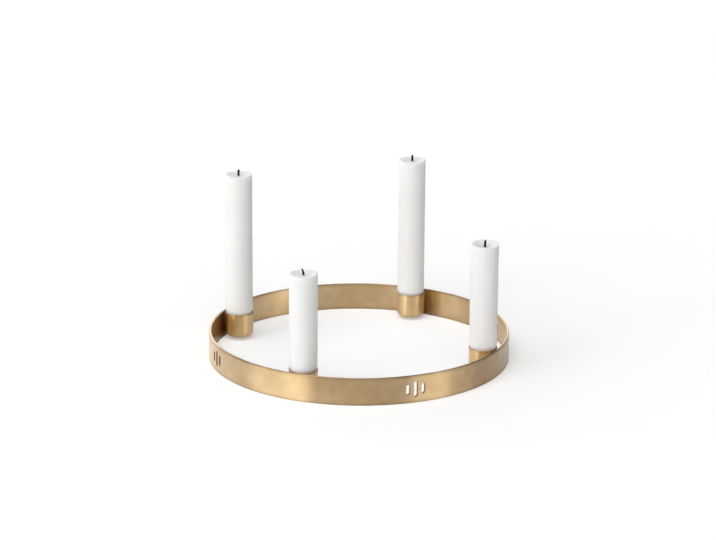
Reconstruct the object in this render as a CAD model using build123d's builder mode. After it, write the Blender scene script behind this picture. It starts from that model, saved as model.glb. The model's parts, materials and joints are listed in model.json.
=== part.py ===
"""Advent candle holder: a brass ring standing on its edge, four brazed cups and four candles.

The origin is the centre of the ring on the table, +Z is up, and the cups stand on the X and Y axes.
All sizes are in millimetres and all angles in degrees.
"""

import os
from math import degrees, radians, sqrt

from build123d import *

# Ring: a flat strip rolled to a closed hoop
ring_diameter = 240.0
band_height = 22.0
band_thickness = 2.0
band_edge_chamfer = 0.3

# Slots: one long upright slot between two short ones, midway between neighbouring cups
slot_width = 3.0
long_slot_length = 12.5
short_slot_length = 8.0
slot_pitch = 6.3
slot_cut_overrun = 1.0

# Cups: drawn thin, bored a little smaller than the candle, with the lip level with the top of the ring
cup_bore_under_candle = 0.6
cup_wall = 0.6
cup_above_table = 2.0
cup_corner_radius = 4.0
cup_lip_chamfer = 0.2
cup_to_band_gap = 0.3

# Brazed seam between each cup and the ring
braze_width = 6.0
braze_end_margin = 1.0

# Candles: dinner candles with a narrower foot, burnt to different lengths
candle_diameter = 22.0
foot_clearance = 0.25
foot_corner_clearance = 0.1
neck_height = 0.8
shoulder_height = 1.2
rim_width = 1.2
rim_rounding = 0.5
candle_length = {"front": 96.6, "right": 104.4, "back": 133.8, "left": 135.4}
pool_depth = {"front": 2.2, "right": 3.5, "back": 2.2, "left": 2.0}

# Wicks: straight through the wax, with a tip that bends over where it burnt
wick_diameter = 2.0
wick_clearance = 0.05
wick_stub = 1.2
wick_tip_chamfer = 0.4
wick_exposed = {"front": 5.8, "right": 6.0, "back": 5.4, "left": 5.6}
wick_bend_angle = {"front": 34.0, "right": 9.0, "back": 4.0, "left": 7.0}
wick_heading_angle = {"front": 204.0, "right": 24.0, "back": 24.0, "left": 24.0}

# Headings of the four cups around the ring, from +X towards +Y
stations = {"front": 270.0, "right": 0.0, "back": 90.0, "left": 180.0}

# Sizes that follow from the ones above
ring_radius = ring_diameter / 2
band_inner_radius = ring_radius - band_thickness
cup_bore_radius = (candle_diameter - cup_bore_under_candle) / 2
cup_outer_radius = cup_bore_radius + cup_wall
cup_height = band_height - cup_above_table
cup_centre_radius = band_inner_radius - cup_to_band_gap - cup_outer_radius
slot_group_turn = 180.0 / len(stations)
slot_step = degrees(slot_pitch / ring_radius)
slot_lengths = {-slot_step: short_slot_length, 0.0: long_slot_length, slot_step: short_slot_length}
candle_base = cup_above_table + cup_wall
candle_radius = candle_diameter / 2
foot_radius = cup_bore_radius - foot_clearance
foot_chamfer = cup_corner_radius - cup_wall - foot_clearance + foot_corner_clearance
neck_top = band_height + neck_height
shoulder_top = neck_top + shoulder_height
pool_radius = candle_radius - rim_width
wick_radius = wick_diameter / 2
wick_bore_radius = wick_radius + wick_clearance
braze_bottom = cup_above_table + cup_corner_radius + braze_end_margin
braze_height = band_height - braze_end_margin - braze_bottom

up = Vector(0, 0, 1)


def heading(angle):
    """Level direction at an angle around the ring, from +X towards +Y."""
    return Vector(1, 0, 0).rotate(Axis.Z, angle)


def level_plane(angle, height):
    """Level plane centred on a cup's axis at a height above the table, with X pointing out of the ring."""
    return Plane(heading(angle) * cup_centre_radius + up * height, x_dir=heading(angle), z_dir=up)


def upright_plane(angle, facing):
    """Upright plane through a cup's axis, with X along a heading, Y up and its origin on the table."""
    return Plane(heading(angle) * cup_centre_radius, x_dir=heading(facing), z_dir=heading(facing).cross(up))


def slot_plane(angle):
    """Plane just outside the ring at half its height, facing outwards, with Y up."""
    outside = heading(angle) * (ring_radius + slot_cut_overrun) + up * (band_height / 2)
    return Plane(outside, x_dir=up.cross(heading(angle)), z_dir=heading(angle))


os.makedirs("parts", exist_ok=True)

# Ring with its slots
with BuildPart() as ring_band:
    with BuildSketch():
        Circle(ring_radius)
        Circle(band_inner_radius, mode=Mode.SUBTRACT)
    extrude(amount=band_height)
    chamfer(ring_band.edges().filter_by(GeomType.CIRCLE), band_edge_chamfer)
    for station_angle in stations.values():
        for slot_turn, slot_length in slot_lengths.items():
            with BuildSketch(slot_plane(station_angle + slot_group_turn + slot_turn)):
                SlotOverall(slot_length, slot_width, rotation=90)
            extrude(amount=-(band_thickness + 2 * slot_cut_overrun), mode=Mode.SUBTRACT)
ring_band.part.label = "ring_band"
export_step(ring_band.part, "parts/ring_band.step")

for station, station_angle in stations.items():
    cup_axis = Axis(heading(station_angle) * cup_centre_radius, up)

    # Cup: a thin shell with a rounded bottom edge and an eased lip
    with BuildPart() as cup:
        with BuildSketch(level_plane(station_angle, cup_above_table)):
            Circle(cup_outer_radius)
        extrude(amount=cup_height)
        fillet(cup.edges().group_by(Axis.Z)[0], cup_corner_radius)
        offset(amount=-cup_wall, openings=cup.faces().sort_by(Axis.Z)[-1])
        chamfer(cup.edges().group_by(Axis.Z)[-1], cup_lip_chamfer)
    cup.part.label = f"cup_{station}"
    export_step(cup.part, f"parts/cup_{station}.step")

    # Brazed seam: fills the wedge between the cup's wall and the inner face of the ring
    with BuildPart() as braze:
        with BuildSketch(level_plane(station_angle, braze_bottom)):
            with Locations((-cup_centre_radius, 0)):
                Circle(band_inner_radius)
            Circle(cup_outer_radius, mode=Mode.SUBTRACT)
            Rectangle(
                band_inner_radius - cup_centre_radius,
                braze_width,
                align=(Align.MIN, Align.CENTER),
                mode=Mode.INTERSECT,
            )
        extrude(amount=braze_height)
    braze.part.label = f"braze_{station}"
    export_step(braze.part, f"parts/braze_{station}.step")

    # Candle: half of its section, turned around the cup's axis
    candle_top = candle_base + candle_length[station]
    pool_floor = candle_top - pool_depth[station]
    pool_sphere = (pool_radius**2 + pool_depth[station] ** 2) / (2 * pool_depth[station])
    pool_start = pool_floor + pool_sphere - sqrt(pool_sphere**2 - wick_bore_radius**2)
    with BuildPart() as candle:
        with BuildSketch(upright_plane(station_angle, station_angle)) as half_section:
            with BuildLine():
                pool = RadiusArc((wick_bore_radius, pool_start), (pool_radius, candle_top), -pool_sphere)
                Polyline(
                    pool @ 0,
                    (wick_bore_radius, candle_base),
                    (foot_radius, candle_base),
                    (foot_radius, neck_top),
                    (candle_radius, shoulder_top),
                    (candle_radius, candle_top),
                    pool @ 1,
                )
            make_face()
            chamfer(half_section.vertices().group_by(Axis.Y)[0].sort_by(Axis.X)[-1], foot_chamfer)
            fillet(half_section.vertices().group_by(Axis.X)[-1].sort_by(Axis.Y)[-1], rim_rounding)
        revolve(axis=cup_axis)
    candle.part.label = f"candle_{station}"
    export_step(candle.part, f"parts/candle_{station}.step")

    # Wick: straight from the foot to just above the wax, then an arc to the burnt tip
    bend_radius = (wick_exposed[station] - wick_stub) / radians(wick_bend_angle[station])
    with BuildPart() as wick:
        with BuildLine(upright_plane(station_angle, wick_heading_angle[station])):
            shank = Line((0, candle_base), (0, pool_floor + wick_stub))
            JernArc(shank @ 1, shank % 1, bend_radius, -wick_bend_angle[station])
        with BuildSketch(level_plane(station_angle, candle_base)):
            Circle(wick_radius)
        sweep()
        chamfer(wick.edges().sort_by(Axis.Z)[-1], wick_tip_chamfer)
    wick.part.label = f"wick_{station}"
    export_step(wick.part, f"parts/wick_{station}.step")
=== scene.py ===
"""Looks of the advent candle holder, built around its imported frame.

A brushed brass ring stands on its edge on a white studio floor, with four spun brass cups brazed inside
it and a burnt white candle in each cup. Every surface is worked out in metres in the frame's own axes:
the origin is the centre of the ring on the floor, +Z is up and the cups stand on the X and Y axes. Angles
among the values are in degrees.
"""

import json
from math import cos, pi, radians, sin

import bmesh
import bpy
import numpy as np
from mathutils import Matrix, Vector


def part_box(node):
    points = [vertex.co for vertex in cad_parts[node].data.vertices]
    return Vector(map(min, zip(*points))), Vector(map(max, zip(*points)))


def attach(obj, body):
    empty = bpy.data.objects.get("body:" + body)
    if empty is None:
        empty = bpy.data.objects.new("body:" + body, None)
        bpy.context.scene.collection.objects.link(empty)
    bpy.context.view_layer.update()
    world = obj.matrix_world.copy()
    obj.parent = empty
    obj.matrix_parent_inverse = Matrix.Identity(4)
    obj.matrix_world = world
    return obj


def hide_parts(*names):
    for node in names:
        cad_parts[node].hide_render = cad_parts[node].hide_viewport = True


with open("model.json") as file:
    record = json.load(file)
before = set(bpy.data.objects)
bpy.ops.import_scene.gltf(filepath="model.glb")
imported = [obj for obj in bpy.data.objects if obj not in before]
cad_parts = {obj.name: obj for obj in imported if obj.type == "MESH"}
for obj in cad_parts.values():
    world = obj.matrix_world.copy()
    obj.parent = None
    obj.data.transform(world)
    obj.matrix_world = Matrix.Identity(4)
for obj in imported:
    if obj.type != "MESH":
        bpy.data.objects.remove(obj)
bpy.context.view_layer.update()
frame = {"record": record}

MM = 0.001
STATIONS = ("front", "right", "back", "left")

# Ring: its radius and height come from its box
_, ring_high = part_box("ring_band")
RING_RADIUS = ring_high.x
BAND_HEIGHT = ring_high.z
BAND_THICKNESS = 2.0 * MM
INNER_RADIUS = RING_RADIUS - BAND_THICKNESS
BAND_EDGE_RADIUS = 0.5 * MM
SLOT_WIDTH = 3.0 * MM
SLOT_PITCH = 6.3 * MM
SLOT_LENGTHS = (8.0 * MM, 12.5 * MM, 8.0 * MM)
SLOT_EDGE_RADIUS = 0.15 * MM
SLOT_GROUP_ANGLES = (45, 135, 225, 315)

# How dark the brass is painted at its cut edges, from 0 to 1, and how far that fades onto the faces beside
# them:
# tarnish of the bare metal, deepened as painted shade along the rims, in the slots and at the cup's lip
# round the candle
BAND_RIM_DARK = 0.55
BAND_RIM_TOP_DARK = 0.25
BAND_RIM_FADE = 0.9 * MM
SLOT_FADE = 0.15 * MM
LIP_DARK = 0.9
LIP_FADE = 0.5 * MM

# Cups
CUP_WALL = 0.6 * MM
CUP_CORNER_RADIUS = 4.0 * MM

# Brazed seams: how hollow their sides are, and how far from each end they taper
BRAZE_HOLLOW = 0.12 * MM
BRAZE_END = 3.0 * MM

# Candles
CANDLE_RADIUS = 11.0 * MM
FOOT_RADIUS = 10.45 * MM
FOOT_CHAMFER = 3.25 * MM
NECK_HEIGHT = 0.8 * MM
SHOULDER_HEIGHT = 1.2 * MM
WAX_RIM_WIDTH = 1.2 * MM
WAX_RIM_RADIUS = 0.5 * MM
POOL_DEPTH = {"front": 2.2 * MM, "right": 3.5 * MM, "back": 2.2 * MM, "left": 2.0 * MM}

# Waves of the cast wax: periods round the body, radians for each metre up it, and weight
BODY_WAVES = ((2, 90, 1.0), (3, -60, 0.6), (5, 210, 0.5))
BODY_WAVE_DEPTH = 0.035 * MM
WAVE_SEED = 40

# Melted rims: how far they sag, the angle of a high side, the number of high sides, and the ripples; how
# deep and from which share of the pool's radius out they melted, and how the wax climbs the wick
RIM_SAG = {"front": 0.9 * MM, "right": 0.8 * MM, "back": 1.3 * MM, "left": 0.9 * MM}
RIM_HIGH = {"front": 24, "right": 145, "back": 24, "left": 210}
RIM_PEAKS = {"front": 2, "right": 1, "back": 2, "left": 2}
RIM_RIPPLES = (3, 5)
RIPPLE_SHARE = 0.15
MELT_DEPTH = 4.0 * MM
MELT_START = 0.55
WAX_CLIMB = 0.4 * MM
WAX_CLIMB_REACH = 0.6 * MM

# Wicks
WICK_RADIUS = 1.0 * MM
WICK_CLEARANCE = 0.05 * MM
WICK_STUB = 1.2 * MM
WICK_EXPOSED = {"front": 5.8 * MM, "right": 6.0 * MM, "back": 5.4 * MM, "left": 5.6 * MM}
WICK_BEND = {"front": 34, "right": 9, "back": 4, "left": 7}
WICK_HEADING = {"front": 204, "right": 24, "back": 24, "left": 24}
WICK_TAPER = {"front": 0.4, "right": 0.08, "back": 0.0, "left": 0.0}
WICK_TIP = 0.55 * MM

# Strands of the braid: their number, the length of one turn and the share of the radius lost between them
STRANDS = 3
STRAND_LAY = 5.5 * MM
STRAND_DIP = 0.2

# Charring of a wick: how far up it sets in, the share of the radius it takes, and its crackle, as periods
# round the wick and radians for each metre along it
CHAR_FADE = 0.8 * MM
CHAR_LOSS = 0.05
CRACKLE_PERIODS = 5
CRACKLE_TWIST = 9.0 / MM
CRACKLE_BEAT = 4.1 / MM

# How far eased steps are drawn to both ends, and how close two points are joined to one
EASING = 0.7
MERGE_DISTANCE = 0.001 * MM

# Fineness of the surfaces: points across and along the band, steps of a profile's runs, and columns round
BAND_ROWS = 20
SECTOR_COLUMNS = 110
SLOT_END_POINTS = 15
SLOT_FACE_SHARES = (0, 0.04, 0.14, 0.3, 0.5, 0.72, 1)
ROUND_STEPS = 5
RIM_FLAT_STEPS = 4
CUP_CORNER_STEPS = 13
CUP_LIP_STEPS = 9
CUP_FLOOR_STEPS = 5
CUP_WALL_STEPS = 9
BRAZE_ROWS = 25
BRAZE_FACE_POINTS = 13
BRAZE_SIDE_STEPS = 4
FOOT_FLOOR_STEPS = 4
FOOT_WALL_STEPS = 6
NECK_STEPS = 3
BODY_STEPS = 60
WAX_RIM_STEPS = 9
POOL_STEPS = 22
BORE_STEPS = 30
TURNED_COLUMNS = 128
WICK_SHANK_ROWS = 120
WICK_TOP_ROWS = 60
WICK_TIP_ROWS = 9
WICK_COLUMNS = 36

# Name of the UV map that the brushing follows
BRUSHING_MAP = "Brushing"


# Mesh building

def quads(rows, columns, start):
    """Corner numbers of the quads of a grid of points that is stored row by row from a first number.

    A quad joins a point and the next one in its row to the two points beside them in the next row.
    """
    number = start + np.arange(rows * columns).reshape(rows, columns)
    corners = (number[:-1, :-1], number[:-1, 1:], number[1:, 1:], number[1:, :-1])
    return np.stack(corners, -1).reshape(-1, 4)


def put_in_scene(name, data):
    """An object at the origin that holds a mesh, a lamp or a camera."""
    thing = bpy.data.objects.new(name, data)
    bpy.context.scene.collection.objects.link(thing)
    return thing


def make_piece(name, patches, material, node):
    """One closed mesh from grids of points that meet edge to edge, dressed, and riding in its node's place.

    A patch is (points, cross, run, dark): the grid of points, the distance across the section and along the
    run at each, which become the UV map, and how dark the surface is painted there: tarnish and painted
    shade on the brass, charring on the wicks.
    """
    grids, *values = zip(*patches)
    starts = np.cumsum([0, *(grid[..., 0].size for grid in grids)])
    faces = np.concatenate([quads(*grid.shape[:2], start) for grid, start in zip(grids, starts)])
    points = np.concatenate([grid.reshape(-1, 3) for grid in grids])
    cross, run, dark = (np.concatenate([part.ravel() for part in parts]) for parts in values)
    mesh = bpy.data.meshes.new(name)
    mesh.from_pydata(points.tolist(), [], faces.tolist())
    brushing = np.stack([cross, run], -1)[faces.ravel()]
    mesh.uv_layers.new(name=BRUSHING_MAP).data.foreach_set("uv", brushing.astype(np.float32).ravel())
    for attribute, value in (("dark", dark), ("cross", cross)):
        mesh.attributes.new(attribute, "FLOAT", "POINT").data.foreach_set("value", value.astype(np.float32))
    joined = bmesh.new()
    joined.from_mesh(mesh)
    bmesh.ops.remove_doubles(joined, verts=joined.verts, dist=MERGE_DISTANCE)
    bmesh.ops.recalc_face_normals(joined, faces=joined.faces)
    joined.to_mesh(mesh)
    joined.free()
    mesh.shade_smooth()
    mesh.materials.append(material)
    piece = put_in_scene(name, mesh)
    record = frame["record"]
    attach(piece, next(body for body, nodes in record["behaviour"]["bodies"].items() if node in nodes))
    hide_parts(node)


def along(profile):
    """Distance along a profile of points from its first: the sum of the steps up to each point."""
    steps = np.linalg.norm(np.diff(profile, axis=0), axis=1)
    return np.concatenate([[0], np.cumsum(steps)])


def arc(centre, radius, first, last, steps=ROUND_STEPS):
    """Points of a circular arc: a centre plus the radius times the cosine and sine of even angles."""
    angle = np.radians(np.linspace(first, last, steps))
    return np.stack([centre[0] + radius * np.cos(angle), centre[1] + radius * np.sin(angle)], -1)


def run_of(first, last, steps):
    """Evenly spaced points of a straight run, without its two ends."""
    return np.linspace(first, last, steps + 2)[1:-1]


def eased(count):
    """Steps from 0 to 1 that are closer together near both ends: even steps less a share of a sine wave."""
    step = np.linspace(0, 1, count)
    return step - EASING * np.sin(2 * pi * step) / (2 * pi)


def fading(distance, reach):
    """A share that is 1 at an edge and dies away from it: e to the power of minus distance over reach."""
    return np.exp(-np.maximum(distance, 0) / reach)


# Ring

def on_ring(radius, angle, height):
    """Points around the ring's axis: radius times the cosine and sine of an angle, and a height."""
    radius, angle, height = np.broadcast_arrays(radius, angle, height)
    return np.stack([radius * np.cos(angle), radius * np.sin(angle), height], -1)


def closed_outline(right, top):
    """An outline from its right side and top, both turned half round for the left side and the bottom."""
    return np.concatenate([right[:-1], top[:-1], -right[:-1], -top])


def stadium(length, width, sides):
    """Outline of a slot: two straight sides joined by half circles, as wide as the slot.

    sides gives the places along each straight side, from 0 at one end to 1 at the other.
    """
    half = (length - width) / 2
    straight = half * (2 * sides - 1)
    over = np.radians(np.linspace(0, 180, SLOT_END_POINTS))
    right = np.stack([np.full_like(straight, width / 2), straight], -1)
    top = np.stack([width / 2 * np.cos(over), half + width / 2 * np.sin(over)], -1)
    return closed_outline(right, top)


def cell_outline(height, sides):
    """Outline of the rectangle around a slot, one pitch wide, point for point beside the slot's own."""
    straight = height / 2 * (2 * sides - 1)
    over = np.linspace(SLOT_PITCH / 2, -SLOT_PITCH / 2, SLOT_END_POINTS)
    right = np.stack([np.full_like(straight, SLOT_PITCH / 2), straight], -1)
    top = np.stack([over, np.full_like(over, height / 2)], -1)
    return closed_outline(right, top)


def both_faces(angle, height, dark):
    """Outer and inner face of the band over a grid of angles and heights.

    The distance across the section goes up the outer face, over the top and down the inner face. The
    distance along the run is the angle times the ring's radius.
    """
    angle, height, dark = np.broadcast_arrays(angle, height, dark)
    run = angle * RING_RADIUS
    inner_cross = 2 * BAND_HEIGHT + BAND_THICKNESS - height
    return [
        (on_ring(RING_RADIUS, angle, height), height, run, dark),
        (on_ring(INNER_RADIUS, angle, height), inner_cross, run, dark),
    ]


def slot_cell(angle, length):
    """Both faces of the band around one slot, and the slot's wall with its rounded edges.

    A face runs straight from each point of the slot's outline to its partner on the cell's outline. The wall
    follows a section that turns a quarter circle from the outer face and another onto the inner face, and
    the slot's outline is widened by how far the section stands off the wall.
    """
    flat_height = BAND_HEIGHT - 2 * BAND_EDGE_RADIUS
    middle = BAND_HEIGHT / 2
    sides = eased(BAND_ROWS)
    share = np.reshape(SLOT_FACE_SHARES, (-1, 1, 1))
    edge = stadium(length + 2 * SLOT_EDGE_RADIUS, SLOT_WIDTH + 2 * SLOT_EDGE_RADIUS, sides)
    flat = (1 - share) * edge + share * cell_outline(flat_height, sides)
    to_slot = np.linalg.norm(flat - edge, axis=-1)
    to_rim = flat_height / 2 - np.abs(flat[..., 1])
    # Painted shade with tarnish: darkest at the slot's edge, and darker towards the rims
    dark = np.maximum(fading(to_slot, SLOT_FADE), BAND_RIM_DARK * fading(to_rim, BAND_RIM_FADE))
    faces = both_faces(angle + flat[..., 0] / RING_RADIUS, middle + flat[..., 1], dark)
    quarter = arc((SLOT_EDGE_RADIUS, -SLOT_EDGE_RADIUS), SLOT_EDGE_RADIUS, 90, 180)
    section = np.concatenate([quarter, quarter[::-1] * (1, -1) - (0, BAND_THICKNESS)])
    wall = np.stack([stadium(length + 2 * off, SLOT_WIDTH + 2 * off, sides) for off, _ in section])
    points = on_ring(RING_RADIUS + section[:, 1:], angle + wall[..., 0] / RING_RADIUS, middle + wall[..., 1])
    shape = points.shape[:2]
    cross = np.broadcast_to(along(section)[:, None], shape)
    run = np.broadcast_to(along(wall[0]), shape)
    # The slot's wall is painted dark all over: tarnish of the cut metal and painted shade inside the slot
    return [*faces, (points, cross, run, np.ones(shape))]


def plain_sector(first, last):
    """Both faces of the band between two groups of slots: a grid of even angles by eased heights."""
    low = BAND_EDGE_RADIUS
    high = BAND_HEIGHT - low
    angle = np.linspace(first, last, SECTOR_COLUMNS)[None, :]
    height = low + (BAND_HEIGHT - 2 * low) * eased(BAND_ROWS)[:, None]
    to_rim = np.minimum(height - low, high - height)
    # Darker towards the rims: tarnish of the cut edges, deepened as painted shade
    return both_faces(angle, height, BAND_RIM_DARK * fading(to_rim, BAND_RIM_FADE))


def band_rim(angles, top):
    """Upper or lower edge of the band: a quarter circle, a flat and a quarter circle, carried round."""
    edge = BAND_EDGE_RADIUS
    outer_round = arc((RING_RADIUS - edge, BAND_HEIGHT - edge), edge, 0, 90)
    inner_round = arc((INNER_RADIUS + edge, BAND_HEIGHT - edge), edge, 90, 180)
    flat = run_of(outer_round[-1], inner_round[0], RIM_FLAT_STEPS)
    section = np.concatenate([outer_round, flat, inner_round])
    height = section[:, 1:] if top else BAND_HEIGHT - section[:, 1:]
    points = on_ring(section[:, :1], angles[None, :], height)
    cross = BAND_HEIGHT + along(section)[:, None]
    run = angles * RING_RADIUS
    # The rounds of the rim are painted dark and its flat less so: tarnish of the cut edge, deepened as
    # painted shade
    darks = (BAND_RIM_DARK, BAND_RIM_TOP_DARK, BAND_RIM_DARK)
    dark = np.repeat(darks, (ROUND_STEPS, RIM_FLAT_STEPS, ROUND_STEPS))[:, None]
    return points, *(np.broadcast_to(value, points.shape[:2]) for value in (cross, run, dark))


def brass_ring(material):
    """The ring: slot cells and plain sectors in turn, closed by its two rims."""
    step = SLOT_PITCH / RING_RADIUS
    cell_angles = step * np.linspace(-0.5, 0.5, SLOT_END_POINTS)
    middle_slot = (len(SLOT_LENGTHS) - 1) / 2
    half_group = step * len(SLOT_LENGTHS) / 2
    patches = []
    angles = []
    for group in np.radians(SLOT_GROUP_ANGLES):
        for place, length in enumerate(SLOT_LENGTHS):
            centre = group + step * (place - middle_slot)
            patches += slot_cell(centre, length)
            angles.append(centre + cell_angles[:-1])
        first = group + half_group
        last = group + 2 * pi / len(SLOT_GROUP_ANGLES) - half_group
        patches += plain_sector(first, last)
        angles.append(np.linspace(first, last, SECTOR_COLUMNS)[:-1])
    angles = np.concatenate([*angles, angles[0][:1] + 2 * pi])
    patches += [band_rim(angles, True), band_rim(angles, False)]
    make_piece("brass_ring", patches, material, "ring_band")


# Cups, seams, candles and wicks

def upright_box(node):
    """Middle of a node's box, half of its width, its lower end and its upper end."""
    low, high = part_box(node)
    return (low + high) / 2, (high.x - low.x) / 2, low.z, high.z


def turned(profile, centre, dark, wobble=None):
    """A profile of (radius, height) points turned around an upright axis.

    A point is the axis plus the radius times the cosine and sine of its angle, at its height. wobble, where
    it is given, is how far each point of the grid moves out from the axis and up.
    """
    turn = np.linspace(0, 2 * pi, TURNED_COLUMNS + 1)
    radius = np.repeat(profile[:, :1], turn.size, axis=1)
    height = np.repeat(profile[:, 1:], turn.size, axis=1)
    if wobble is not None:
        out, lift = wobble(radius, turn[None, :], height)
        radius, height = radius + out, height + lift
    points = np.stack([centre.x + radius * np.cos(turn), centre.y + radius * np.sin(turn), height], -1)
    shape = radius.shape
    cross = np.broadcast_to(along(profile)[:, None], shape)
    run = np.broadcast_to(turn * profile[:, 0].max(), shape)
    return points, cross, run, np.broadcast_to(np.reshape(dark, (-1, 1)), shape)


def brass_cup(station, material):
    """A spun cup: flat floor, round corner, straight wall, round lip and the same again inside."""
    node = f"cup_{station}"
    centre, radius, floor, lip = upright_box(node)
    inner_floor = floor + CUP_WALL
    corner = CUP_CORNER_RADIUS
    corner_centre = (radius - corner, floor + corner)
    half_wall = CUP_WALL / 2
    outer_corner = arc(corner_centre, corner, -90, 0, CUP_CORNER_STEPS)
    lip_round = arc((radius - half_wall, lip - half_wall), half_wall, 0, 180, CUP_LIP_STEPS)
    inner_corner = arc(corner_centre, corner - CUP_WALL, 0, -90, CUP_CORNER_STEPS)
    profile = np.concatenate([
        [(0, floor)],
        run_of((0, floor), outer_corner[0], CUP_FLOOR_STEPS),
        outer_corner,
        run_of(outer_corner[-1], lip_round[0], CUP_WALL_STEPS),
        lip_round,
        run_of(lip_round[-1], inner_corner[0], CUP_WALL_STEPS),
        inner_corner,
        run_of(inner_corner[-1], (0, inner_floor), CUP_FLOOR_STEPS),
        [(0, inner_floor)],
    ])
    # A dark line painted round the lip: painted shade of the gap round the candle, over tarnish of the cut
    # lip
    dark = LIP_DARK * fading(lip - profile[:, 1], LIP_FADE)
    make_piece(f"brass_cup_{station}", [turned(profile, centre, dark)], material, node)


def braze_seam(station, material):
    """The brazed seam: a wedge between the cup and the band, with hollow sides and tapering ends.

    Its section at each height is a closed line: along the band, across one side, back along the cup and
    across the other side. A side is hollow by a parabola that is deepest halfway. The half width shrinks at
    both ends as the edge of an ellipse does.
    """
    node = f"braze_{station}"
    low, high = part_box(node)
    cup, cup_radius, *_ = upright_box(f"cup_{station}")
    cup_place = Vector((cup.x, cup.y, 0))
    outward = cup_place.normalized()
    sideways = Vector((-outward.y, outward.x, 0))
    half_width = max(high.x - low.x, high.y - low.y) / 2
    height = low.z + (high.z - low.z) * eased(BRAZE_ROWS)
    to_end = np.minimum(height - low.z, high.z - height)
    width = half_width * np.sqrt(1 - (1 - np.clip(to_end / BRAZE_END, 0, 1)) ** 2)[:, None]
    across = width * np.linspace(-1, 1, BRAZE_FACE_POINTS)
    between = run_of(0, 1, BRAZE_SIDE_STEPS)
    hollow = BRAZE_HOLLOW * 4 * between * (1 - between)

    def band_side(y):
        """How far out the band's inner circle is: the root of its radius squared less y squared."""
        return np.sqrt(INNER_RADIUS**2 - y**2)

    def cup_side(y):
        """How far out the cup's circle is: its centre, and the root of its radius squared less y squared."""
        return cup_place.length + np.sqrt(cup_radius**2 - y**2)

    side_x = band_side(width) + (cup_side(width) - band_side(width)) * between
    side_y = width - hollow * width / half_width
    far = np.stack([band_side(across), across], -1)
    right = np.stack([side_x, side_y], -1)
    near = np.stack([cup_side(across), across], -1)[:, ::-1]
    left = np.stack([side_x, -side_y], -1)[:, ::-1]
    section = np.concatenate([far, right, near, left, far[:, :1]], axis=1)
    points = section[..., :1] * np.array(outward) + section[..., 1:] * np.array(sideways)
    points[..., 2] = height[:, None]
    shape = points.shape[:2]
    run = np.broadcast_to(along(section[BRAZE_ROWS // 2]), shape)
    patch = (points, np.broadcast_to(height[:, None], shape), run, np.zeros(shape))
    make_piece(f"braze_seam_{station}", [patch], material, node)


def wax_candle(station, material):
    """A burnt candle: shaved foot, neck, shoulder, straight body, melted rim, pool and the bore of the wick.

    The profile is straight runs, a quarter circle at the rim and an arc of a large circle for the pool.
    """
    node = f"candle_{station}"
    centre, _, base, top = upright_box(node)
    neck = BAND_HEIGHT + NECK_HEIGHT
    shoulder = neck + SHOULDER_HEIGHT
    pool_radius = CANDLE_RADIUS - WAX_RIM_WIDTH
    depth = POOL_DEPTH[station]
    sphere = (pool_radius**2 + depth**2) / (2 * depth)
    bore = WICK_RADIUS + WICK_CLEARANCE
    rim = arc((CANDLE_RADIUS - WAX_RIM_RADIUS, top - WAX_RIM_RADIUS), WAX_RIM_RADIUS, 0, 90, WAX_RIM_STEPS)
    pool_r = np.linspace(pool_radius, bore, POOL_STEPS)
    pool = np.stack([pool_r, top - depth + sphere - np.sqrt(sphere**2 - pool_r**2)], -1)
    bore_foot = (bore, base)
    foot_low = (FOOT_RADIUS - FOOT_CHAMFER, base)
    foot_high = (FOOT_RADIUS, base + FOOT_CHAMFER)
    neck_low = (FOOT_RADIUS, neck)
    neck_high = (CANDLE_RADIUS, shoulder)
    profile = np.concatenate([
        [bore_foot],
        run_of(bore_foot, foot_low, FOOT_FLOOR_STEPS),
        [foot_low, foot_high],
        run_of(foot_high, neck_low, FOOT_WALL_STEPS),
        [neck_low],
        run_of(neck_low, neck_high, NECK_STEPS),
        [neck_high],
        run_of(neck_high, rim[0], BODY_STEPS),
        rim,
        pool,
        run_of(pool[-1], bore_foot, BORE_STEPS),
        [bore_foot],
    ])
    draws = np.random.default_rng(WAVE_SEED + STATIONS.index(station))
    phases = draws.uniform(0, 2 * pi, len(BODY_WAVES) + len(RIM_RIPPLES))
    wave_phases, ripple_phases = np.split(phases, [len(BODY_WAVES)])

    def wobble(radius, turn, height):
        """How cast and melted wax departs from the profile.

        The body is drawn in by hundredths of a millimetre, by a sum of sine waves round it and up it. The
        rim sags between its one or two high sides, by a cosine round the candle with a small ripple on it,
        which fades out a few millimetres down and towards the wick. The wax climbs a little up the wick.
        """
        outer = np.clip((radius - pool_radius) / WAX_RIM_WIDTH, 0, 1) * (height > shoulder)
        swell = sum(
            weight * np.sin(periods * turn + climb * height + phase)
            for (periods, climb, weight), phase in zip(BODY_WAVES, wave_phases)
        )
        out = -BODY_WAVE_DEPTH * outer * (1 + swell / sum(weight for *_, weight in BODY_WAVES))
        near_top = np.clip((height - top + MELT_DEPTH) / MELT_DEPTH, 0, 1)
        low_side = (1 - np.cos(RIM_PEAKS[station] * (turn - radians(RIM_HIGH[station])))) / 2
        ripples = [np.sin(periods * turn + phase) for periods, phase in zip(RIM_RIPPLES, ripple_phases)]
        ripple = (1 + sum(ripples) / len(ripples)) / 2
        to_rim = np.clip((radius / pool_radius - MELT_START) / (1 - MELT_START), 0, 1)
        melted = (1 - RIPPLE_SHARE) * low_side + RIPPLE_SHARE * ripple
        sag = RIM_SAG[station] * near_top * to_rim * melted
        up_wick = WAX_CLIMB * fading(radius - bore, WAX_CLIMB_REACH) * (height >= pool[-1, 1])
        return out, up_wick - sag

    patch = turned(profile, centre, np.zeros(len(profile)), wobble)
    make_piece(f"wax_candle_{station}", [patch], material, node)


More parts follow.
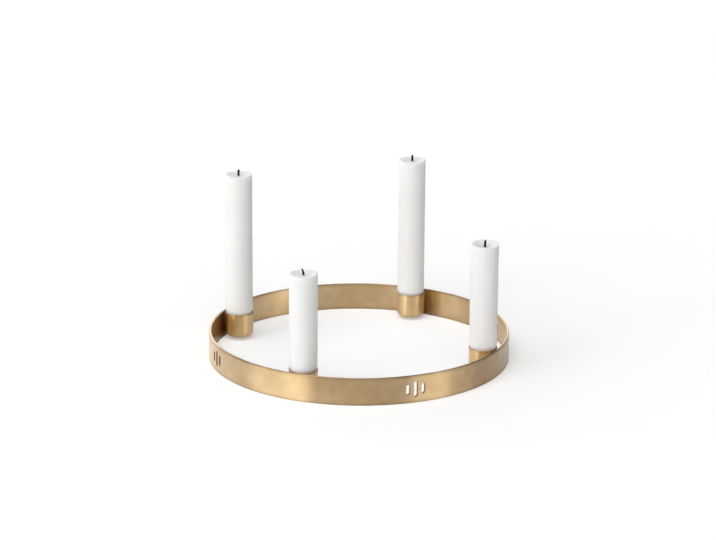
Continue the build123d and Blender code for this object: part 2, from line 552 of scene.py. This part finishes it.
def burnt_wick(station, material):
    """A braided wick: strands wound round each other, swept up the bore and over in an arc at the top.

    The radius swells where a strand lies and dips between strands, by a cosine that turns steadily along the
    wick. Above the wax the wick is thinner and rougher where it burnt, and its tip is round as an ellipse.
    """
    axis, *_ = upright_box(f"cup_{station}")
    _, _, base, top = upright_box(f"candle_{station}")
    arc_length = WICK_EXPOSED[station] - WICK_STUB
    bend_radius = arc_length / radians(WICK_BEND[station])
    wax_level = top - POOL_DEPTH[station] - base
    shank = wax_level + WICK_STUB
    length = shank + arc_length
    close_rows = wax_level - WICK_STUB
    distance = np.concatenate([
        np.linspace(0, close_rows, WICK_SHANK_ROWS)[:-1],
        np.linspace(close_rows, length - WICK_TIP, WICK_TOP_ROWS)[:-1],
        length - WICK_TIP * np.cos(np.linspace(0, pi / 2, WICK_TIP_ROWS)),
    ])[:, None]
    angle = np.clip((distance - shank) / bend_radius, 0, None)
    heading = radians(WICK_HEADING[station])
    ahead = np.array([cos(heading), sin(heading), 0])
    aside = np.array([-sin(heading), cos(heading), 0])
    upward = np.array([0, 0, 1])
    reach = bend_radius * (1 - np.cos(angle))
    rise = base + np.minimum(distance, shank) + bend_radius * np.sin(angle)
    line = np.array([axis.x, axis.y, 0]) + reach * ahead + rise * upward
    normal = np.cos(angle) * ahead - np.sin(angle) * upward
    turn = np.linspace(0, 2 * pi, WICK_COLUMNS + 1)
    strand = np.abs(np.cos(STRANDS / 2 * (turn - 2 * pi * distance / STRAND_LAY)))
    burnt = np.clip((distance - wax_level) / CHAR_FADE, 0, 1)
    crackle = np.sin(CRACKLE_PERIODS * turn + CRACKLE_TWIST * distance) * np.sin(CRACKLE_BEAT * distance)
    taper = WICK_TAPER[station] * np.clip((distance - shank) / arc_length, 0, 1)
    blunt = np.clip((length - distance) / WICK_TIP, 0, 1)
    radius = WICK_RADIUS * (1 - STRAND_DIP * (1 - strand) - CHAR_LOSS * burnt * (1 + crackle)) * (1 - taper)
    radius = radius * np.sqrt(1 - (1 - blunt) ** 2)
    radius[0] = 0
    around = np.cos(turn)[:, None] * normal[:, None, :] + np.sin(turn)[:, None] * aside
    points = line[:, None, :] + radius[..., None] * around
    shape = points.shape[:2]
    patch = (points, *(np.broadcast_to(value, shape) for value in (distance, turn * WICK_RADIUS, burnt)))
    make_piece(f"burnt_wick_{station}", [patch], material, f"wick_{station}")


# Colours of the finishes: the two ends of a range, or one colour
RING_COLOURS = ((0.81, 0.598, 0.342, 1), (0.65, 0.446, 0.224, 1))
CUP_COLOURS = ((0.81, 0.585, 0.305, 1), (0.66, 0.45, 0.215, 1))
# Dark brass at cut edges, slot walls and cup lips: tarnish, deepened as painted shade
TARNISH_AND_SHADE = (0.34, 0.222, 0.112, 1)
BRAZE_COLOURS = ((0.56, 0.42, 0.24, 1), (0.34, 0.23, 0.12, 1))
WAX_COLOURS = ((0.88, 0.877, 0.868, 1), (0.915, 0.913, 0.907, 1))
CHAR_COLOURS = ((0.006, 0.005, 0.005, 1), (0.075, 0.07, 0.068, 1))
COTTON_COLOURS = ((0.62, 0.57, 0.48, 1), (0.8, 0.77, 0.7, 1))
WHITE = (1, 1, 1, 1)

# Noise patterns: blobs a metre, octaves of detail and how rough the detail is
LARGE_CLOUDS = {"scale": 24.0, "detail": 3.0}
SMALL_CLOUDS = {"scale": 130.0, "detail": 3.0, "roughness": 0.55}
BRAZE_GRAIN = {"scale": 1800.0, "detail": 4.0, "roughness": 0.6}
BRAZE_CLOUDS = {"scale": 260.0}
WAX_CLOUDS = {"scale": 60.0, "detail": 3.0}
WAX_SKIN = {"scale": 900.0, "detail": 3.0}
COTTON_FIBRE = {"scale": 1500.0, "detail": 4.0, "roughness": 0.65}
FIBRE_STRETCH = (3, 3, 1)
WAX_LINES_PER_METRE = (420, 420, 24)

# Ranges of noise, each of which is spread over a share or a roughness
MOST_NOISE = (0.3, 0.7)
CORE_NOISE = (0.35, 0.65)
AGE_NOISE = (0.37, 0.63)
ASH_NOISE = (0.55, 0.8)

# Brushing of the brass: its streaks, the weights of noises in its grain and its age, and how far the shine
# is drawn out across the streaks
FINE_STREAKS = {"width": 0.22 * MM, "detail": 3.0}
BROAD_STREAKS = {"width": 1.6 * MM, "detail": 2.0}
STREAK_DETAIL_ROUGHNESS = 0.6
RING_STREAK_LENGTH = 22 * MM
CUP_STREAK_LENGTH = 9 * MM
GRAIN_WEIGHTS = (0.6, 0.4)
AGE_WEIGHTS = (0.65, 0.25, 0.1)
RING_ANISOTROPY = 0.95
CUP_ANISOTROPY = 0.8

# Roughness of the finishes, and how far grain and age change that of the brass
RING_ROUGHNESS = 0.4
CUP_ROUGHNESS = 0.44
ROUGHNESS_BY_GRAIN = 0.03
ROUGHNESS_BY_AGE = 0.06
LACQUER_ROUGHNESS = 0.3
BRAZE_ROUGHNESS = (0.42, 0.62)
WAX_ROUGHNESS = (0.42, 0.55)
COTTON_ROUGHNESS = 0.9

# Relief too fine for the meshes
BRUSHING_RELIEF = {"strength": 0.14, "depth": 0.02 * MM}
BRAZE_RELIEF = {"strength": 0.4, "depth": 0.06 * MM}
WAX_RELIEF = {"strength": 0.12, "depth": 0.05 * MM}
COTTON_RELIEF = {"strength": 0.6, "depth": 0.12 * MM}

# Lacquer, wax and ash: refraction, scattering in the wax, weights of its noises, and the most ash
LACQUER_IOR = 1.4
WAX_IOR = 1.44
WAX_SCATTER_SHARE = 0.8
WAX_SCATTER_DEPTH = 5.0 * MM
WAX_SCATTER_TINT = (1.0, 0.9, 0.8)
WAX_SHADE_WEIGHTS = (0.5, 0.5)
WAX_RELIEF_WEIGHTS = (0.7, 0.3)
ASH_MOST = 0.6

# Sockets of a Mix node that mixes colours
FIRST_COLOUR = 6
SECOND_COLOUR = 7
MIXED_COLOUR = 2


# Materials

class Nodes:
    """A material's node tree, with short calls to add nodes and join them."""

    def __init__(self, name):
        self.material = bpy.data.materials.new(name)
        self.material.use_nodes = True
        self.tree = self.material.node_tree
        self.shader = self.tree.nodes["Principled BSDF"]

    def put(self, socket, value):
        """Joins a node's first output, or an output socket, to an input, or sets the input's value."""
        if isinstance(value, bpy.types.Node):
            value = value.outputs[0]
        if isinstance(value, bpy.types.NodeSocket):
            self.tree.links.new(value, socket)
        else:
            socket.default_value = value

    def add(self, kind, settings=None, **inputs):
        """Adds a node, sets its properties and then its inputs by name, where _ stands for a space."""
        node = self.tree.nodes.new(kind)
        for key, value in (settings or {}).items():
            setattr(node, key, value)
        for key, value in inputs.items():
            self.put(node.inputs[key.replace("_", " ")], value)
        return node

    def place(self):
        """The object's own coordinates."""
        return self.add("ShaderNodeTexCoord").outputs["Object"]

    def attribute(self, name):
        """A number that is stored at the points of the mesh."""
        return self.add("ShaderNodeAttribute", {"attribute_name": name}).outputs["Fac"]

    def math(self, operation, first, second):
        """First and second number joined by an operation."""
        node = self.add("ShaderNodeMath", {"operation": operation})
        self.put(node.inputs[0], first)
        self.put(node.inputs[1], second)
        return node

    def weigh(self, values, weights):
        """The sum of several numbers, each times its own weight."""
        total = 0.0
        for value, weight in zip(values, weights):
            total = self.math("ADD", total, self.math("MULTIPLY", value, weight))
        return total

    def spread(self, value, low, high, to_low=0.0, to_high=1.0):
        """A number moved in proportion from one range to another and kept inside it."""
        return self.add(
            "ShaderNodeMapRange", None,
            Value=value, From_Min=low, From_Max=high, To_Min=to_low, To_Max=to_high,
        )

    def blend(self, share, first, second):
        """Two colours mixed by a share from 0 to 1."""
        node = self.add("ShaderNodeMix", {"data_type": "RGBA"})
        self.put(node.inputs["Factor"], share)
        self.put(node.inputs[FIRST_COLOUR], first)
        self.put(node.inputs[SECOND_COLOUR], second)
        return node.outputs[MIXED_COLOUR]

    def noise(self, vector, scale=1.0, detail=2.0, roughness=0.5):
        """Soft noise from 0 to 1 at a scale of so many blobs a metre."""
        return self.add(
            "ShaderNodeTexNoise", None, Vector=vector, Scale=scale, Detail=detail, Roughness=roughness,
        ).outputs[0]

    def stretched(self, vector, scale):
        """Coordinates times a scale for each axis."""
        return self.add("ShaderNodeMapping", None, Vector=vector, Scale=scale)

    def relief(self, height, strength, depth):
        """Normals of a relief as deep as a height from 0 to 1 times a depth, at a strength."""
        return self.add("ShaderNodeBump", None, Strength=strength, Distance=depth, Height=height)

    def finish(self, **inputs):
        """Sets the shader's inputs by name and gives the material."""
        for key, value in inputs.items():
            self.put(self.shader.inputs[key.replace("_", " ")], value)
        return self.material


def brushed_brass(name, colours, roughness, streak_length, anisotropy):
    """Lacquered brass, brushed round the piece, with soft clouds of age, and darker, bare cut edges and slot
    walls: tarnish, deepened as painted shade.

    The streaks are noise on the object's X and Y, which change slowly along the run, and on the distance
    across the section, which is stretched so that a streak is a fraction of a millimetre wide.
    """
    n = Nodes(name)
    place = n.place()
    part = n.add("ShaderNodeSeparateXYZ", None, Vector=place).outputs
    cross = n.attribute("cross")
    dark = n.attribute("dark")

    def streaks(width, detail):
        """Noise whose blobs are streak_length long and width wide."""
        vector = n.add(
            "ShaderNodeCombineXYZ", None,
            X=n.math("MULTIPLY", part["X"], 1 / streak_length),
            Y=n.math("MULTIPLY", part["Y"], 1 / streak_length),
            Z=n.math("MULTIPLY", cross, 1 / width),
        )
        return n.noise(vector, detail=detail, roughness=STREAK_DETAIL_ROUGHNESS)

    fine = streaks(**FINE_STREAKS)
    broad = streaks(**BROAD_STREAKS)
    large = n.noise(place, **LARGE_CLOUDS)
    small = n.noise(place, **SMALL_CLOUDS)
    grain = n.weigh((fine, broad), GRAIN_WEIGHTS)
    age = n.spread(n.weigh((large, small, broad), AGE_WEIGHTS), *AGE_NOISE)
    uneven = n.spread(grain, *MOST_NOISE, -ROUGHNESS_BY_GRAIN, ROUGHNESS_BY_GRAIN)
    least = roughness - ROUGHNESS_BY_AGE / 2
    return n.finish(
        # Painted shade with tarnish where the dark attribute says, at cut edges, slot walls and the lip
        Base_Color=n.blend(dark, n.blend(age, *colours), TARNISH_AND_SHADE),
        Metallic=1.0,
        Roughness=n.weigh((uneven, age, least), (1.0, ROUGHNESS_BY_AGE, 1.0)),
        Normal=n.relief(grain, **BRUSHING_RELIEF),
        Anisotropic=anisotropy,
        Tangent=n.add("ShaderNodeTangent", {"direction_type": "UV_MAP", "uv_map": BRUSHING_MAP}),
        Coat_Weight=n.math("SUBTRACT", 1.0, dark),
        Coat_Roughness=LACQUER_ROUGHNESS,
        Coat_IOR=LACQUER_IOR,
    )


def flowed_braze(name):
    """Braze as it flowed: duller and rougher than the brass, with a fine grain."""
    n = Nodes(name)
    place = n.place()
    grain = n.noise(place, **BRAZE_GRAIN)
    clouds = n.noise(place, **BRAZE_CLOUDS)
    return n.finish(
        Base_Color=n.blend(n.spread(clouds, *CORE_NOISE), *BRAZE_COLOURS),
        Metallic=1.0,
        Roughness=n.spread(grain, *MOST_NOISE, *BRAZE_ROUGHNESS),
        Normal=n.relief(grain, **BRAZE_RELIEF),
    )


def white_wax(name):
    """Cast white wax: light scatters a few millimetres in, under faint clouds and a slightly uneven skin."""
    n = Nodes(name)
    place = n.place()
    lines = n.noise(n.stretched(place, WAX_LINES_PER_METRE))
    clouds = n.noise(place, **WAX_CLOUDS)
    skin = n.noise(place, **WAX_SKIN)
    shade = n.weigh((lines, clouds), WAX_SHADE_WEIGHTS)
    height = n.weigh((lines, skin), WAX_RELIEF_WEIGHTS)
    return n.finish(
        Base_Color=n.blend(n.spread(shade, *CORE_NOISE), *WAX_COLOURS),
        Roughness=n.spread(skin, *MOST_NOISE, *WAX_ROUGHNESS),
        Normal=n.relief(height, **WAX_RELIEF),
        IOR=WAX_IOR,
        Subsurface_Weight=WAX_SCATTER_SHARE,
        Subsurface_Radius=WAX_SCATTER_TINT,
        Subsurface_Scale=WAX_SCATTER_DEPTH,
    )


def charred_cotton(name):
    """Braided cotton, off-white inside the wax and charred black above it, with a little grey ash."""
    n = Nodes(name)
    fibre = n.noise(n.stretched(n.place(), FIBRE_STRETCH), **COTTON_FIBRE)
    char = n.blend(n.spread(fibre, *ASH_NOISE, 0.0, ASH_MOST), *CHAR_COLOURS)
    cotton = n.blend(fibre, *COTTON_COLOURS)
    return n.finish(
        Base_Color=n.blend(n.attribute("dark"), cotton, char),
        Roughness=COTTON_ROUGHNESS,
        Normal=n.relief(fibre, **COTTON_RELIEF),
    )


ring_metal = brushed_brass(
    "brushed_ring_brass", RING_COLOURS, RING_ROUGHNESS, RING_STREAK_LENGTH, RING_ANISOTROPY
)
cup_metal = brushed_brass(
    "spun_cup_brass", CUP_COLOURS, CUP_ROUGHNESS, CUP_STREAK_LENGTH, CUP_ANISOTROPY
)
braze_metal = flowed_braze("flowed_braze")
wax = white_wax("white_wax")
wick_cotton = charred_cotton("charred_cotton")

brass_ring(ring_metal)
for station in STATIONS:
    brass_cup(station, cup_metal)
    braze_seam(station, braze_metal)
    wax_candle(station, wax)
    burnt_wick(station, wick_cotton)


# Camera: at the photograph's viewing angle

PHOTO_WIDTH_PIXELS = 716
FOCAL_PIXELS = 3000
SENSOR_WIDTH_MM = 36
CAMERA_AZIMUTH = 23.63
CAMERA_ELEVATION = 19.03
CAMERA_DISTANCE = 2406.7 * MM
CAMERA_ROLL = 0.37
CAMERA_REACH = 20.0
AIM_SIDEWAYS = -1.17 * MM
AIM_HEIGHT = 71.08 * MM


def seen_from(azimuth, elevation, distance):
    """A place around the origin; azimuth 0 is in front on -Y and grows towards +X."""
    a, e = radians(azimuth), radians(elevation)
    return Vector((sin(a) * cos(e), -cos(a) * cos(e), sin(e))) * distance


def facing(place, target, roll=0):
    """Matrix of a camera or lamp that stands at a place, looks at a target and is rolled by some degrees."""
    turned_to = (target - place).to_track_quat("-Z", "Y").to_matrix().to_4x4()
    return Matrix.Translation(place) @ turned_to @ Matrix.Rotation(radians(roll), 4, "Z")


def add_camera():
    """The photograph's camera: a long lens from a little above."""
    data = bpy.data.cameras.new("photo_camera")
    data.sensor_width = SENSOR_WIDTH_MM
    data.lens = FOCAL_PIXELS / PHOTO_WIDTH_PIXELS * SENSOR_WIDTH_MM
    data.clip_end = CAMERA_REACH
    camera = put_in_scene("photo_camera", data)
    azimuth = radians(CAMERA_AZIMUTH)
    aim = Vector((AIM_SIDEWAYS * cos(azimuth), AIM_SIDEWAYS * sin(azimuth), AIM_HEIGHT))
    place = seen_from(CAMERA_AZIMUTH, CAMERA_ELEVATION, CAMERA_DISTANCE)
    camera.matrix_world = facing(place, aim, CAMERA_ROLL)
    bpy.context.scene.camera = camera


# Stage and light

FLOOR_SIZE = 24.0
FLOOR_DROP = 0.1 * MM
FLOOR_GREY = (0.74, 0.74, 0.74, 1)
FLOOR_CORNER_REACH = 0.05
FLOOR_CORNER_SAMPLES = 8
FLOOR_CORNER_POWER = 2.0
LAMP_DISTANCE = 6.0
LAMP_AIM_HEIGHT = 0.06
WORLD_RADIANCE = 0.03

# Lift of the floor towards white: two distances from the object's middle, and the lift at each
FLOOR_LIFT_RADII = (0.14, 0.7)
FLOOR_LIFT = (0.36, 0.47)
FAR_FLOOR_RADII = (1.2, 5.0)
FAR_FLOOR_LIFT = (0.0, 0.6)
FLOOR_LIFT_IN_METAL_RADII = (0.11, 0.19)
FLOOR_LIFT_IN_METAL = (1.0, 0.1)


def add_floor():
    """A plain white floor, a little below the ring so that the two do not share a plane.

    What the camera and the metal see of it is lifted to white, more so away from the object where the
    lamps fall off, and the floor keeps the object's shadow. Far off, behind the lamps, the camera's lift
    grows again. In the metal the lift fades outside the ring, and in corners that the ring and the cups
    close in.
    """
    square = np.array([(-1, -1, 0), (1, -1, 0), (1, 1, 0), (-1, 1, 0)]) * FLOOR_SIZE / 2
    mesh = bpy.data.meshes.new("studio_floor")
    mesh.from_pydata((square - (0, 0, FLOOR_DROP)).tolist(), [], [(0, 1, 2, 3)])
    n = Nodes("white_floor")
    path = n.add("ShaderNodeLightPath").outputs
    length = n.add("ShaderNodeVectorMath", {"operation": "LENGTH"}, Vector=n.place())
    away = length.outputs["Value"]
    lift = n.spread(away, *FLOOR_LIFT_RADII, *FLOOR_LIFT)
    far_lift = n.spread(away, *FAR_FLOOR_RADII, *FAR_FLOOR_LIFT)
    metal_lift = n.spread(away, *FLOOR_LIFT_IN_METAL_RADII, *FLOOR_LIFT_IN_METAL)
    corner = n.add(
        "ShaderNodeAmbientOcclusion", {"samples": FLOOR_CORNER_SAMPLES}, Distance=FLOOR_CORNER_REACH
    )
    openness = n.math("POWER", corner.outputs["AO"], FLOOR_CORNER_POWER)
    metal_lift = n.math("MULTIPLY", metal_lift, openness)
    seen = n.math("MAXIMUM", path["Is Camera Ray"], path["Is Transmission Ray"])
    seen = n.math("MAXIMUM", seen, n.math("MULTIPLY", path["Is Glossy Ray"], metal_lift))
    seen_far = n.math("MULTIPLY", path["Is Camera Ray"], far_lift)
    mesh.materials.append(n.finish(
        Base_Color=FLOOR_GREY,
        Roughness=1.0,
        Specular_IOR_Level=0.0,
        Emission_Color=WHITE,
        Emission_Strength=n.math("ADD", n.math("MULTIPLY", seen, lift), seen_far),
    ))
    floor = put_in_scene("studio_floor", mesh)


def add_softbox(name, azimuth, elevation, width, height, radiance, distance=LAMP_DISTANCE):
    """Gives a rectangular lamp that faces the middle of the object, at an azimuth from the camera's own.

    Its power is its radiance times pi times its area.
    """
    data = bpy.data.lights.new(name, "AREA")
    data.shape = "RECTANGLE"
    data.size = width
    data.size_y = height
    data.energy = radiance * pi * width * height
    lamp = put_in_scene(name, data)
    lamp.visible_camera = False
    place = seen_from(CAMERA_AZIMUTH + azimuth, elevation, distance)
    lamp.matrix_world = facing(place, Vector((0, 0, LAMP_AIM_HEIGHT)))
    return lamp


def add_world():
    """Dim even light from all around, which the camera sees as white."""
    world = bpy.data.worlds.new("studio_world")
    world.use_nodes = True
    tree = world.node_tree
    background = tree.nodes["Background"]
    background.inputs["Color"].default_value = WHITE
    strength = tree.nodes.new("ShaderNodeMath")
    strength.operation = "MAXIMUM"
    strength.inputs[1].default_value = WORLD_RADIANCE
    tree.links.new(tree.nodes.new("ShaderNodeLightPath").outputs["Is Camera Ray"], strength.inputs[0])
    tree.links.new(strength.outputs[0], background.inputs["Strength"])
    bpy.context.scene.world = world


add_camera()
add_floor()
add_world()
add_softbox("left_key", azimuth=-46, elevation=11, width=1.7, height=2.2, radiance=2.1)
add_softbox("left_wide", azimuth=-62, elevation=11, width=5.4, height=2.2, radiance=3.55)
add_softbox("left_wrap", azimuth=-116, elevation=12, width=6.8, height=2.4, radiance=1.3)
add_softbox("back_wall", azimuth=-165, elevation=15, width=6.8, height=3.2, radiance=1.6)
add_softbox("right_fill", azimuth=55, elevation=12, width=3.4, height=2.4, radiance=2.7)
right_card = add_softbox(
    "right_card", azimuth=66, elevation=10, width=0.42, height=0.16, radiance=1.2, distance=0.62
)
add_softbox("high_front", azimuth=-24, elevation=68, width=5.6, height=5.6, radiance=2.5)
front_soft = add_softbox("front_soft", azimuth=-24, elevation=42, width=4.8, height=4.8, radiance=0.9)

# The small card near the ring shows only in the brass, and the front lamp lights only wax and floor
right_card.visible_diffuse = False
front_soft.visible_glossy = False

bpy.context.scene.view_settings.view_transform = "Standard"
